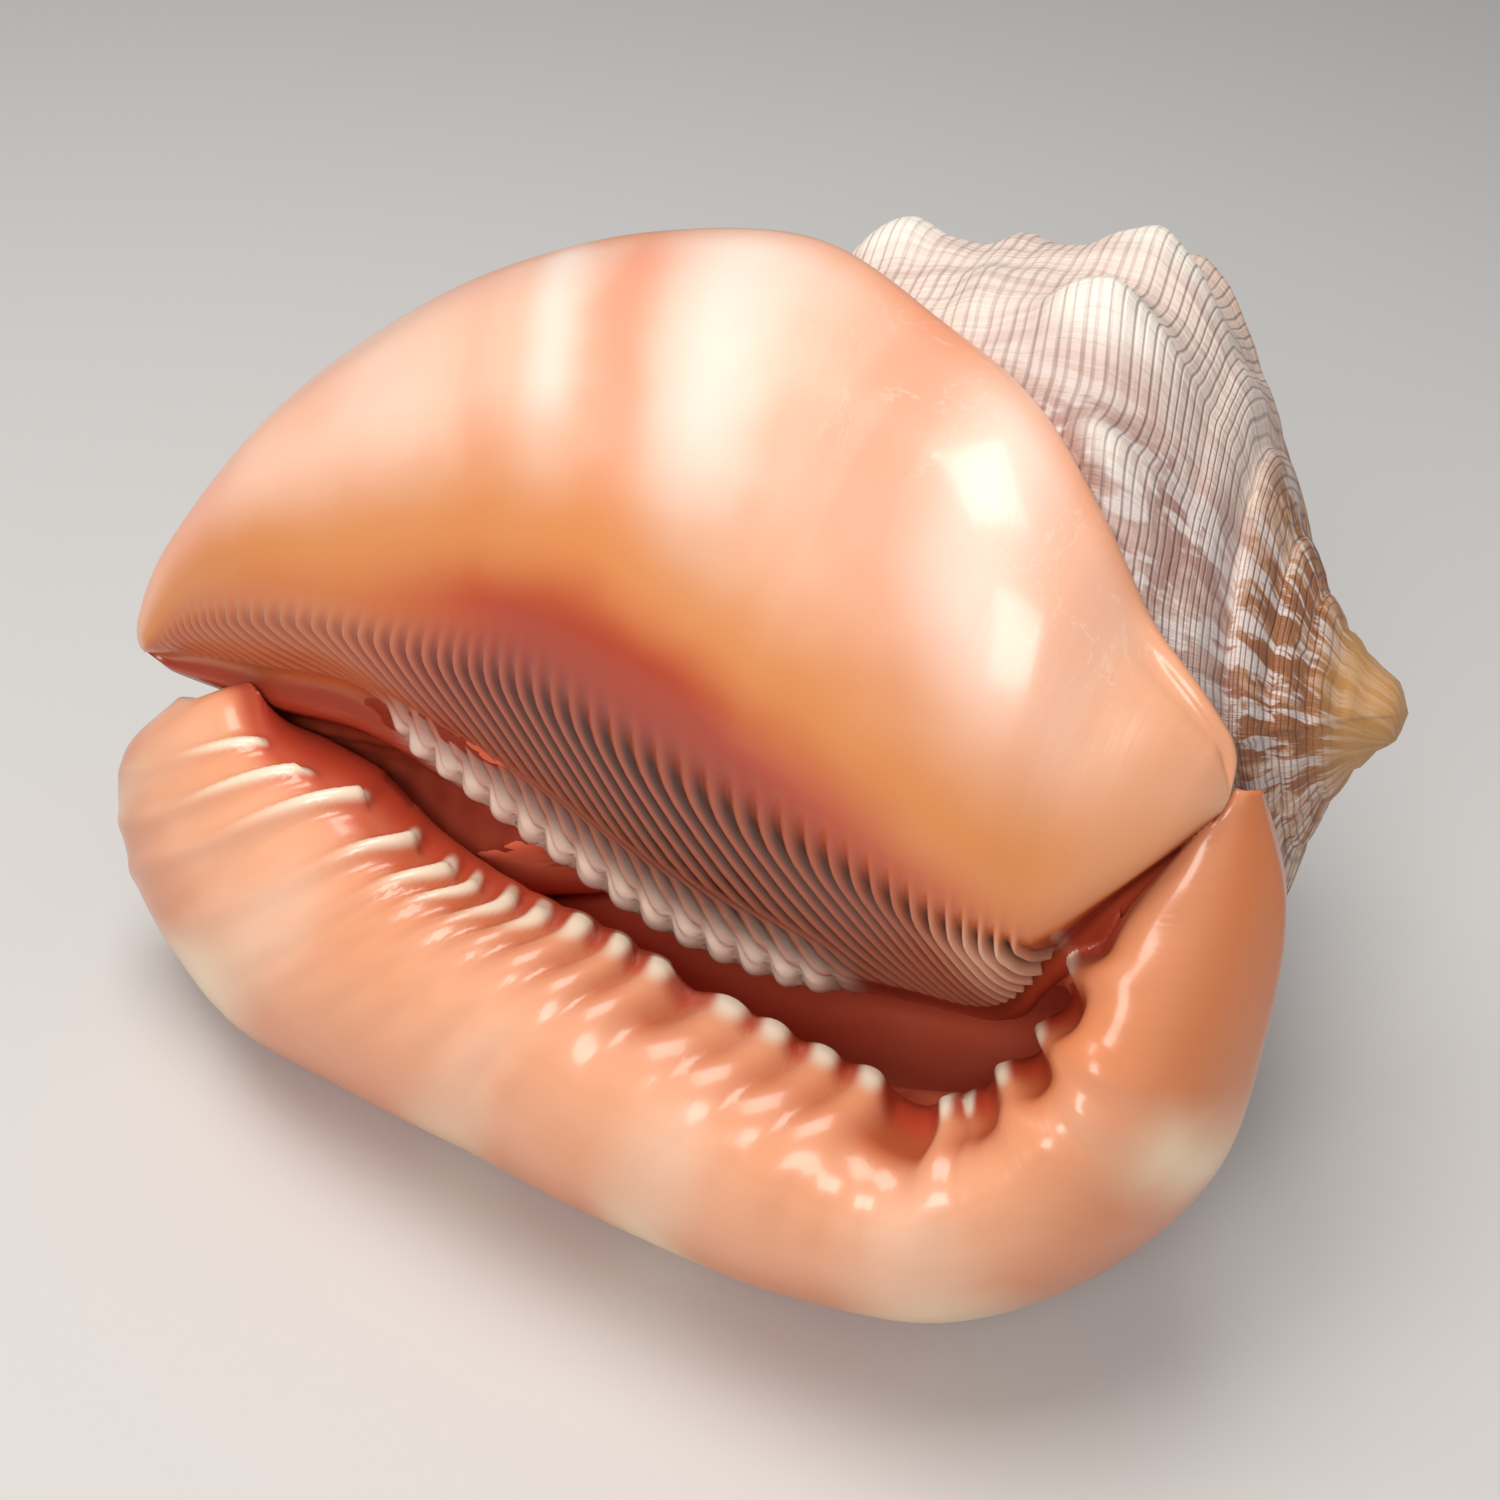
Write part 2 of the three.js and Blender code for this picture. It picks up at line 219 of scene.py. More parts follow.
def body_grid(rows, columns):
    line = along_curve(OUTLINE, np.linspace(0, 1, 4001))
    step = np.hypot(*np.diff(line, axis=0).T)
    arc = np.concatenate([[0], np.cumsum(step)])
    wanted = np.linspace(0, arc[-1], rows)
    x = np.interp(wanted, arc, line[:, 0])[:, None]
    radius = np.maximum(np.interp(wanted, arc, line[:, 1]), 0.01)[:, None]
    turns = (0.86 + np.arange(columns) / columns)[None, :] % 1
    far = body_radius(radius, turns)

    # the whorls of the spire step down to each other at a seam that winds once a turn
    winding = np.log(np.maximum(radius, 0.5) / 25) / math.log(1.5) - (turns - 0.98)
    part = winding - np.floor(winding)
    spire = (x > 120) * smooth(36, 29, radius) * smooth(3.6, 5, radius)
    far = far + spire * radius * 0.12 * (np.sin(math.pi * part) ** 0.6 - 0.5)
    beads = np.cos(TURN * (turns * 22)) * bell(part, 0.18, 0.13)
    far = far + spire * 0.45 * beads * smooth(6, 12, radius)

    bare = smooth(covered(x) - 0.01, covered(x) + 0.035, turns) * smooth(0.88, 0.82, turns)
    knob = np.zeros_like(far)
    for place, count, height, width, start in KNOB_ROWS:
        at = turns * count + start
        pitch = TURN * radius / count
        number = np.round(at)
        aside = (at - number) * pitch
        under = (turns > 0.6) & (turns < 0.76)
        size = np.where(under, 0.82, 1 + 0.16 * np.sin(number * 2.4 + place))
        sway = np.where(under, 0, 0.9 * np.sin(number * 1.7 + place))
        spread = ((x - place - sway) / (width * 0.62)) ** 2 + (aside / (pitch * 0.27)) ** 2
        knob = knob + height * size * np.exp(-spread)
    far = far + knob * bare

    # growth lines run along the shell, spiral cords run round it
    body_only = smooth(4, 16, radius) * (1 - spire)
    wander = turns * TURN
    coarse = np.sin(wander * 31 + 2.2 * np.sin(wander * 5) + x * 0.03)
    lines = 0.5 * coarse + 0.5 * np.sin(wander * 53 + np.sin(wander * 7 + 1))
    far = far + body_only * 0.16 * lines
    far = far + body_only * 0.14 * np.cos(TURN * wanted[:, None] / 5.2) * smooth(0.1, 0.2, turns)
    far = far * (1 - 0.15 * bell(turns, 0.86, 0.14) * smooth(108, 124, x))
    points = ring(x, far, turns)
    points[..., 1] += 3.2 * smooth(118, 141, x)
    mark = np.stack([wanted[:, None] + 0 * turns, part + 0 * x, knob * bare], -1)
    return points, mark


# ---------------------------------------------------------------------------------------------------------
# parietal shield: domed plate, slanting folds, rope along the columella
# ---------------------------------------------------------------------------------------------------------
def shield_guides(s):
    """The guide points round each section of the shield, columella first."""
    edge = along_curve(SHIELD_EDGE, s)
    fold = along_curve(FOLD_START, s)
    columella = along_curve(COLUMELLA, s)
    middle = np.sin(math.pi * np.clip(s, 0, 1))
    deep = middle ** 0.7
    dome = (SHIELD_DOME * deep)[:, None] * np.array([0, 0.55, 0.83])
    dome_outer = edge * 0.72 + fold * 0.28 + dome * 0.8
    dome_inner = edge * 0.36 + fold * 0.64 + dome * 0.72
    thick = 0.6 + 2.6 * smooth(0, 0.06, s) * smooth(1, 0.93, s) + 2.2 * bell(s, 0.95, 0.05)
    outward = edge - dome_outer
    outward = outward / np.linalg.norm(outward, axis=1)[:, None]
    under = np.array([0, -0.35, -0.94])
    edge_back = edge + under * thick[:, None] - outward * 1.5
    dome_back = dome_outer + under * (3 + 7 * middle)[:, None]
    fold_back = (dome_inner + fold) * 0.5 + under * (3 + 16 * middle)[:, None]
    radius, turns = ring_of(columella)
    inside = ring(columella[:, 0], radius * (1 - 0.06 * deep), turns - 0.045 * deep - 0.004)
    deeper = ring(columella[:, 0], radius * (1 - 0.4 * deep), turns - 0.05 * deep - 0.006)
    face = columella * 0.5 + fold * 0.5 + lift(0, -0.55 * deep, 2.1 * deep + 1.6 * bell(s, 0.31, 0.08))
    front = [columella, face, fold, dome_inner, dome_outer, edge]
    behind = [edge_back, dome_back, fold_back, deeper, inside]
    return np.stack(front + behind, 1)


SHIELD_SPANS = [
    [0, .03, .06, .09, .12, .15, .19, .23, .28, .34, .41, .49, .58, .68, .79, .9],
    [0, .1, .2, .3, .4, .5, .6, .72, .86], 7, 7, 8, [0, .2, .4, .6, .8], 2, 1, 1, 2,
    [0, .3, .5, .64, .74, .81, .87, .92, .96]]


def shield_grid(rows):
    w = stations(SHIELD_SPANS)
    span = w * len(SHIELD_SPANS)
    s0 = np.linspace(0, 1, rows)
    # how far over each station is: 0 at the fold start, 1 at the columella, back to 0 behind
    over = np.where(span < 2, 1 - span / 2, np.where(span > 9, (span - 9) / 2, 0.0))
    slant = 0.125 * over ** 1.6
    taper = 4 * s0 * (1 - s0) * (1 - 0.6 * smooth(0.5, 0.85, s0))
    shift = slant - 0.03 * (over > 0) * smooth(0, 0.4, over)
    s = s0[:, None] + shift[None, :] * taper[:, None]
    s = np.clip(s, 0, 1)
    points = np.stack([round_curve(shield_guides(s[:, j]), w[j]) for j in range(len(w))], 1)
    # both ends are drawn in to a round tip
    tail = np.sqrt(np.clip(1 - (np.clip(s0 - 0.955, 0, 1) / 0.045) ** 2, 0.0004, 1))
    nose = np.sqrt(np.clip(1 - (np.clip(0.02 - s0, 0, 1) / 0.02) ** 2, 0.0004, 1))
    heart = points.mean(1, keepdims=True)
    points = heart + (points - heart) * (tail * nose)[:, None, None]
    normal = faced_out(points)

    v = over[None, :] + 0 * s
    ends = smooth(0.02, 0.10, s0)[:, None] * smooth(0.845, 0.80, s0)[:, None]
    phase = FOLDS * (s0 - 0.24 * s0 ** 2 + 0.006 * np.sin(s0 * 17))[:, None] + 0 * v
    wave = 0.5 + 0.5 * np.cos(TURN * phase)
    ridge = wave ** 1.5
    right = smooth(0.45, 0.86, s0)[:, None]
    left = smooth(0.45, 0.1, s0)[:, None]
    begins = 0.02 + 0.12 * bell(s0, 0.47, 0.16)[:, None]
    reach = smooth(begins - 0.04, begins + 0.26, v) * smooth(0.985, 0.90, v) * (span < 2)[None, :]
    fold_height = (0.56 + 0.80 * right - 0.12 * left) * ends * reach
    last = smooth(0.70, 0.80, s0)[:, None]
    fold_relief = fold_height * (ridge - 0.35) * (1 + 0.6 * last)

    # the rope: a rounded cord with slanting lobes
    behind = np.where(span > 10, bell(span, 11.0, 0.42), 0)
    cord = np.where(span < 2, bell(span, 0.0, 0.22), behind)[None, :]
    roped = smooth(0.27, 0.31, s) * smooth(0.64, 0.58, s)
    lean = np.where(span < 2, span, span - 11)[None, :]
    lobe_phase = ROPE_LOBES * (s - 0.28) / 0.33 - 0.5 * lean
    lobe = np.abs(np.sin(math.pi * lobe_phase)) ** 0.6
    rope_relief = cord * roped * (0.3 + 2.2 * lobe)
    gutter = np.where(span < 2, bell(span, 0.42, 0.10), 0)[None, :] * roped * -0.9

    relief = fold_relief + rope_relief + gutter
    # the dome swells and dips a little, and its outer edge rolls over
    swell = 0.22 * np.sin(s0 * 23 + 1) * smooth(0.5, 0.3, s0)
    dome_wave = swell[:, None] * bell(span, 4.6, 0.9)[None, :]
    flap = smooth(0.80, 0.88, s0)[:, None] * smooth(0.995, 0.97, s0)[:, None]
    double_edge = (0.55 * bell(span, 4.95, 0.16) - 0.75 * bell(span, 4.62, 0.13))[None, :] * flap
    points = points + normal * (relief + dome_wave + double_edge)[..., None]

    across = np.interp(span, [0, 2, 5, 6, 9, 11], [2, 1, 0, -0.2, 3, 2])[None, :] + 0 * s
    groove = np.clip(reach * ends * (1 - ridge), 0, 1)
    rope = np.clip(cord * roped * 1.3, 0, 1)
    mark = np.stack([s, across, groove], -1)
    extra = np.stack([rope * (0.35 + 0.65 * lobe), reach * ends * ridge, last + 0 * v], -1)
    return points, mark, extra


# ---------------------------------------------------------------------------------------------------------
# outer lip: thick rolled band with teeth along the mouth
# ---------------------------------------------------------------------------------------------------------
# teeth: place along the lip, height, half width, how far each runs out over the lip, and where it
# starts, counted outward from the inner edge of the lip
TEETH = [
    (0.128, 1.0, 0.0060, 2.6, 0.55), (0.166, 1.7, 0.0068, 2.9, 0.50), (0.203, 2.1, 0.0075, 2.9, 0.20),
    (0.255, 2.0, 0.0080, 2.2, 0.0), (0.290, 1.8, 0.0075, 2.1, -0.05), (0.311, 1.4, 0.0060, 2.0, -0.10),
    (0.338, 1.7, 0.0070, 1.9, -0.20), (0.363, 1.9, 0.0080, 1.8, -0.25), (0.392, 2.4, 0.0095, 1.6, -0.35),
    (0.426, 2.6, 0.0105, 1.5, -0.40), (0.462, 2.7, 0.0110, 1.4, -0.40), (0.508, 2.7, 0.0110, 1.4, -0.40),
    (0.535, 2.7, 0.0105, 1.4, -0.40), (0.567, 2.6, 0.0105, 1.3, -0.40), (0.600, 2.7, 0.0115, 1.4, -0.40),
    (0.690, 2.6, 0.0100, 1.4, -0.40), (0.708, 1.3, 0.0060, 1.0, -0.40), (0.750, 2.7, 0.0105, 1.5, -0.40),
    (0.808, 2.7, 0.0100, 1.5, -0.40), (0.868, 2.5, 0.0095, 1.5, -0.40)]


def lip_guides(s):
    inner = along_curve(LIP_INNER, s)
    outer = along_curve(LIP_OUTER, s)
    swell = np.sin(math.pi * (0.01 + 0.985 * s)) ** 0.62
    height = LIP_HEIGHT * swell * (1 - 0.3 * smooth(0.8, 1, s))
    deep = np.sin(math.pi * s) ** 0.5
    faces = []
    for angle in (0.5, 1.05, 1.6, 2.15, 2.7):
        share = (1 - math.cos(angle)) / 2
        faces.append(inner + (outer - inner) * share + lift(0, 0, height * math.sin(angle) ** 1.1))
    back = outer * 0.86 + inner * 0.14 + lift(0, 0, -LIP_THICK * deep * (1 - 0.45 * s) - 0.4)
    gutter_x = np.clip((inner[:, 0] + outer[:, 0]) / 2, 10, 128)
    gutter_radius = body_radius(plain_radius(gutter_x), np.full_like(s, 0.77)) - 2.5
    sunk_in = ring(gutter_x, gutter_radius, np.full_like(s, 0.77))
    gutter = inner + (sunk_in - inner) * (0.02 + 0.98 * deep)[:, None]
    radius, turns = ring_of(inner)
    wall_outside = ring(inner[:, 0], radius + 0.5 + 5 * deep, turns - 0.055 * deep - 0.004)
    apron = smooth(0.04, 0.16, s) * smooth(0.97, 0.86, s)
    sunk = inner + lift(-3.0 * apron, 0.4 * apron, -9.5 * apron)
    round_in = ring(inner[:, 0], radius + 0.2, turns - 0.003)
    wall_inside = round_in + (sunk - round_in) * apron[:, None]
    return np.stack([inner, *faces, outer, back, gutter, wall_outside, wall_inside], 1)


LIP_SPANS = [
    [0, .1, .2, .3, .42, .56, .7, .85], 6, 5, 5, 5, 4, 4, 3, 2, 1,
    [0, .3, .5, .66, .8, .9]]


def lip_grid(rows):
    w = stations(LIP_SPANS)
    span = w * len(LIP_SPANS)
    # an end of the section measured from the inner edge: negative inside the mouth
    out = np.where(span > 9, span - 11, span)
    s0 = np.linspace(0.0, 1.0, rows)
    s = s0[:, None] + 0 * w[None, :]
    points = np.stack([round_curve(lip_guides(s0), w[j]) for j in range(len(w))], 1)
    normal = faced_out(points)
    tooth = np.zeros_like(s)
    tip = np.zeros_like(s)
    for place, height, width, reach, start in TEETH:
        swing = (0.012 - 0.024 * smooth(0.62, 0.80, place)) * np.clip(out - start, 0, 4)
        far = out - start
        aside = np.abs(s - place + swing)
        broad = 1.1 + 0.5 * smooth(0.30, 0.42, place)
        over = np.exp(-(aside / (width * broad)) ** 2.4)
        crest = np.exp(-(aside / width) ** 2.4)
        head = np.where(far >= 0, np.exp(-(np.clip(far, 0, 9) / (reach * 0.75)) ** 2), bell(far, 0, 0.36))
        tail = np.where(far >= 0, np.exp(-(np.clip(far, 0, 9) / (reach * 1.5)) ** 2), 0)
        ridge = over * (0.58 * head + 0.36 * tail)
        tooth = np.maximum(tooth, height * ridge)
        pale = reach * (0.62 - 0.26 * smooth(0.30, 0.42, place))
        tip = np.maximum(tip, crest * np.where(far >= 0, bell(far, 0, pale), bell(far, 0, 0.36)))
    toothed = smooth(0.05, 0.10, s0)[:, None] * smooth(0.93, 0.88, s0)[:, None]
    between = toothed * bell(out, 0.15, 0.8)[None, :]
    crest = 0.16 * np.sin(s0 * 150 + 3 * np.sin(s0 * 31))[:, None] * bell(out, 2.3, 0.8)[None, :]
    crest = crest + 0.12 * np.sin(s0 * 67 + 2)[:, None] * bell(out, 3.4, 1.2)[None, :]
    relief = 1.15 * tooth * toothed - 0.6 * between + crest
    points = points + normal * relief[..., None]
    mark = np.stack([s, out[None, :] + 0 * s, tooth * toothed], -1)
    extra = np.stack([tip * toothed, between, 0 * s], -1)
    return points, mark, extra


# ---------------------------------------------------------------------------------------------------------
# hollow: from the open air before the mouth back round the pillar
# ---------------------------------------------------------------------------------------------------------
def hollow_grid(rows, columns):
    half = columns // 2
    angle = math.pi * np.arange(half) / (half - 1)
    lines = []
    for t in np.linspace(0, 1, rows):
        turns = 0.985 - 0.62 * t
        low = np.interp(t, [0, 0.1, 0.2, 0.45, 0.8, 1], [-6, -4, 14, 30, 52, 78])
        high = np.interp(t, [0, 0.1, 0.2, 0.45, 0.8, 1], [122, 121, 117, 113, 108, 92])
        size = 1.12 if turns > 0.83 else float(growth(turns))
        thick = [-20, -4, WALL + 2.2, WALL + 4, WALL + 12, WALL + 8]
        wall = np.interp(t, [0, 0.12, 0.2, 0.28, 0.42, 1], thick)
        pillar = np.interp(t, [0, 0.1, 0.2, 0.35, 0.6, 0.85, 1], [0.5, 0.5, 0.52, 0.5, 0.44, 0.42, 0.66])
        x = low + (high - low) * (1 - np.cos(angle)) / 2
        outer = plain_radius(np.clip(x, 4, 128)) * size - wall
        core = np.maximum(pillar, np.interp(x, [26, 40, 52, 66], [0.86, 0.80, 0.66, 0.5]))
        inner = np.minimum(plain_radius(np.clip(x, 4, 116)), 46) * core
        outer = np.maximum(outer, inner + 1)
        opened = np.sin(angle) ** 0.5
        outside = (outer + inner) / 2 + (outer - inner) / 2 * opened
        inside = (outer + inner) / 2 - (outer - inner) / 2 * opened
        xs = np.concatenate([x, x[::-1][1:-1]])
        far = np.concatenate([outside, inside[::-1][1:-1]])
        lines.append(ring(xs, far, np.full_like(xs, turns)))
    points = np.stack(lines)
    t = np.linspace(0, 1, rows)[:, None] + 0 * points[..., 0]
    return points, np.stack([t, t * 0, t * 0], -1)


# ---------------------------------------------------------------------------------------------------------
# grids to one solid
# ---------------------------------------------------------------------------------------------------------
def solid(name, points, mark, extra, material):
    """A grid closed round its rows, with a fan at each end, as a mesh object in the row frame."""
    rows, columns = points.shape[:2]
    flat = points.reshape(-1, 3)
    marks = mark.reshape(-1, 3)
    extras = np.zeros_like(marks) if extra is None else extra.reshape(-1, 3)
    i = np.arange(rows - 1)[:, None] * columns
    j = np.arange(columns)[None, :]
    k = (j + 1) % columns
    quads = np.stack([i + j, i + k, i + columns + k, i + columns + j], -1).reshape(-1, 4)
    first, last = len(flat), len(flat) + 1
    flat = np.vstack([flat, points[0].mean(0), points[-1].mean(0)])
    marks = np.vstack([marks, marks[0], marks[-1]])
    extras = np.vstack([extras, extras[0], extras[-1]])
    j, k = j[0], k[0]
    start = (rows - 1) * columns
    fans = np.concatenate([
        np.stack([j, np.full(columns, first), k], -1),
        np.stack([start + j, start + k, np.full(columns, last)], -1)])
    faces = quads.tolist() + fans.tolist()
    a, b, c = flat[quads[:, 0]], flat[quads[:, 1]], flat[quads[:, 2]]
    if (a * np.cross(b, c)).sum() < 0:
        faces = [f[::-1] for f in faces]
    mesh = bpy.data.meshes.new(name)
    mesh.from_pydata(lay_down(flat).tolist(), [], faces)
    corner = np.empty(len(mesh.loops), dtype=np.int32)
    mesh.loops.foreach_get("vertex_index", corner)
    for label, values in (("mark", marks), ("extra", extras)):
        layer = mesh.attributes.new(label, "FLOAT_VECTOR", "CORNER")
        layer.data.foreach_set("vector", values[corner].astype(np.float32).ravel())
    mesh.materials.append(material)
    piece = bpy.data.objects.new(name, mesh)
    bpy.context.scene.collection.objects.link(piece)
    return piece


def join_up(body, steps):
    """Cuts and joins solids into the body and returns the finished mesh."""
    for operation, other in steps:
        change = body.modifiers.new(other.name, "BOOLEAN")
        change.operation = operation
        change.object = other
        change.solver = "MANIFOLD"
        change.material_mode = "TRANSFER"
    graph = bpy.context.evaluated_depsgraph_get()
    mesh = bpy.data.meshes.new_from_object(body.evaluated_get(graph))
    for piece in [body] + [other for _, other in steps]:
        bpy.data.objects.remove(piece, do_unlink=True)
    return mesh


def soften_seams(mesh, soft_pairs, reach, rounds):
    """Rounds off the joins between the named pairs of finishes, and keeps the other joins crisp."""
    count = len(mesh.vertices)
    co = np.empty(count * 3, dtype=np.float64)
    mesh.vertices.foreach_get("co", co)
    co = co.reshape(-1, 3)
    edges = np.empty(len(mesh.edges) * 2, dtype=np.int32)
    mesh.edges.foreach_get("vertices", edges)
    edges = edges.reshape(-1, 2)
    finish = np.empty(len(mesh.polygons), dtype=np.int32)
    mesh.polygons.foreach_get("material_index", finish)
    total = np.empty(len(mesh.polygons), dtype=np.int32)
    mesh.polygons.foreach_get("loop_total", total)
    loop_edge = np.empty(len(mesh.loops), dtype=np.int32)
    mesh.loops.foreach_get("edge_index", loop_edge)
    loop_finish = np.repeat(finish, total)
    low = np.full(len(edges), 99)
    high = np.full(len(edges), -1)
    np.minimum.at(low, loop_edge, loop_finish)
    np.maximum.at(high, loop_edge, loop_finish)
    weight = np.zeros(count)
    seam = np.zeros(len(edges), bool)
    for a, b in soft_pairs:
        seam |= (low == min(a, b)) & (high == max(a, b))
    weight[edges[seam].ravel()] = 1
    crisp = (low != high) & ~seam
    degree = np.bincount(edges.ravel(), minlength=count).astype(float)
    for _ in range(reach):
        spread = np.zeros(count)
        np.maximum.at(spread, edges[:, 0], weight[edges[:, 1]])
        np.maximum.at(spread, edges[:, 1], weight[edges[:, 0]])
        weight = np.maximum(weight, spread - 1 / (reach + 1))
    weight = np.clip(weight, 0, 1)
    weight[edges[crisp].ravel()] = 0
    for _ in range(rounds):
        total_co = np.zeros_like(co)
        np.add.at(total_co, edges[:, 0], co[edges[:, 1]])
        np.add.at(total_co, edges[:, 1], co[edges[:, 0]])
        co += (total_co / degree[:, None] - co) * (0.6 * weight)[:, None]
    mesh.vertices.foreach_set("co", co.astype(np.float32).ravel())
    mesh.update()


# ---------------------------------------------------------------------------------------------------------
# shader maths as expressions
# ---------------------------------------------------------------------------------------------------------
class Field:
    """A number that varies over the surface."""

    def __init__(self, finish, socket):
        self.finish = finish
        self.socket = socket

    def math(self, operation, *others):
        sockets = {0: self}
        sockets.update({i + 1: other for i, other in enumerate(others)})
        made = self.finish.node("ShaderNodeMath", {"operation": operation}, sockets)
        return Field(self.finish, made.outputs[0])

    def __add__(self, other):
        return self.math("ADD", other)

    __radd__ = __add__

    def __sub__(self, other):
        return self.math("SUBTRACT", other)

    def __rsub__(self, other):
        made = self.finish.node("ShaderNodeMath", {"operation": "SUBTRACT"}, {0: other, 1: self})
        return Field(self.finish, made.outputs[0])

    def __mul__(self, other):
        return self.math("MULTIPLY", other)

    __rmul__ = __mul__

    def __truediv__(self, other):
        return self.math("DIVIDE", other)

    def __pow__(self, other):
        return self.math("POWER", other)

    def sin(self):
        return self.math("SINE")

    def part(self):
        return self.math("FRACT")

    def size(self):
        return self.math("ABSOLUTE")

    def most(self, other):
        return self.math("MAXIMUM", other)

    def least(self, other):
        return self.math("MINIMUM", other)

    def angle(self, other):
        return self.math("ARCTAN2", other)

    def between(self, low, high):
        """0 below low, 1 above high, smooth between them. low may be the larger one."""
        made = self.finish.node(
            "ShaderNodeMapRange", {"interpolation_type": "SMOOTHSTEP"},
            {"Value": self, "From Min": low, "From Max": high})
        return Field(self.finish, made.outputs["Result"])

    def near(self, middle, width):
        return 1 - ((self - middle) / width).size().between(0, 1)


def paint(code):
    """A #rrggbb paint as linear light."""
    parts = [int(code[i:i + 2], 16) / 255 for i in (1, 3, 5)]
    return tuple(c / 12.92 if c <= 0.04045 else ((c + 0.055) / 1.055) ** 2.4 for c in parts) + (1.0,)


class Finish:
    """One procedural finish of the shell."""

    def __init__(self, name):
        self.material = bpy.data.materials.new(name)
        self.material.use_nodes = True
        self.tree = self.material.node_tree
        self.tree.nodes.clear()

    def node(self, kind, settings=None, sockets=None):
        made = self.tree.nodes.new(kind)
        for name, value in (settings or {}).items():
            setattr(made, name, value)
        for name, value in (sockets or {}).items():
            socket = made.inputs[name]
            if isinstance(value, Field):
                value = value.socket
            if isinstance(value, bpy.types.NodeSocket):
                self.tree.links.new(value, socket)
            else:
                socket.default_value = value
        return made

    def split(self, name):
        """The three numbers of a stored vector."""
        stored = self.node("ShaderNodeAttribute", {"attribute_name": name})
        parts = self.node("ShaderNodeSeparateXYZ", None, {0: stored.outputs["Vector"]})
        return [Field(self, parts.outputs[i]) for i in range(3)]

    def vector(self, x, y, z):
        return self.node("ShaderNodeCombineXYZ", None, {0: x, 1: y, 2: z}).outputs[0]

    def noise(self, at, scale, detail=2.0, rough=0.5, warp=0.0):
        made = self.node(
            "ShaderNodeTexNoise", None,
            {"Vector": at, "Scale": scale, "Detail": detail, "Roughness": rough, "Distortion": warp})
        return Field(self, made.outputs[0])

    def blend(self, share, first, second):
        """first where share is 0, second where it is 1."""
        made = self.node("ShaderNodeMix", {"data_type": "RGBA"}, {0: share, 6: first, 7: second})
        return made.outputs[2]

    def shade(self, colour, roughness, height, bump, coat=0.0, ior=1.5):
        bumped = self.node(
            "ShaderNodeBump", None, {"Strength": bump, "Distance": 0.001, "Height": height})
        surface = self.node("ShaderNodeBsdfPrincipled", None, {
            "Base Color": colour, "Roughness": roughness, "Normal": bumped.outputs[0],
            "Coat Weight": coat, "Coat Roughness": 0.12, "IOR": ior})
        end = self.node("ShaderNodeOutputMaterial")
        self.tree.links.new(surface.outputs[0], end.inputs[0])


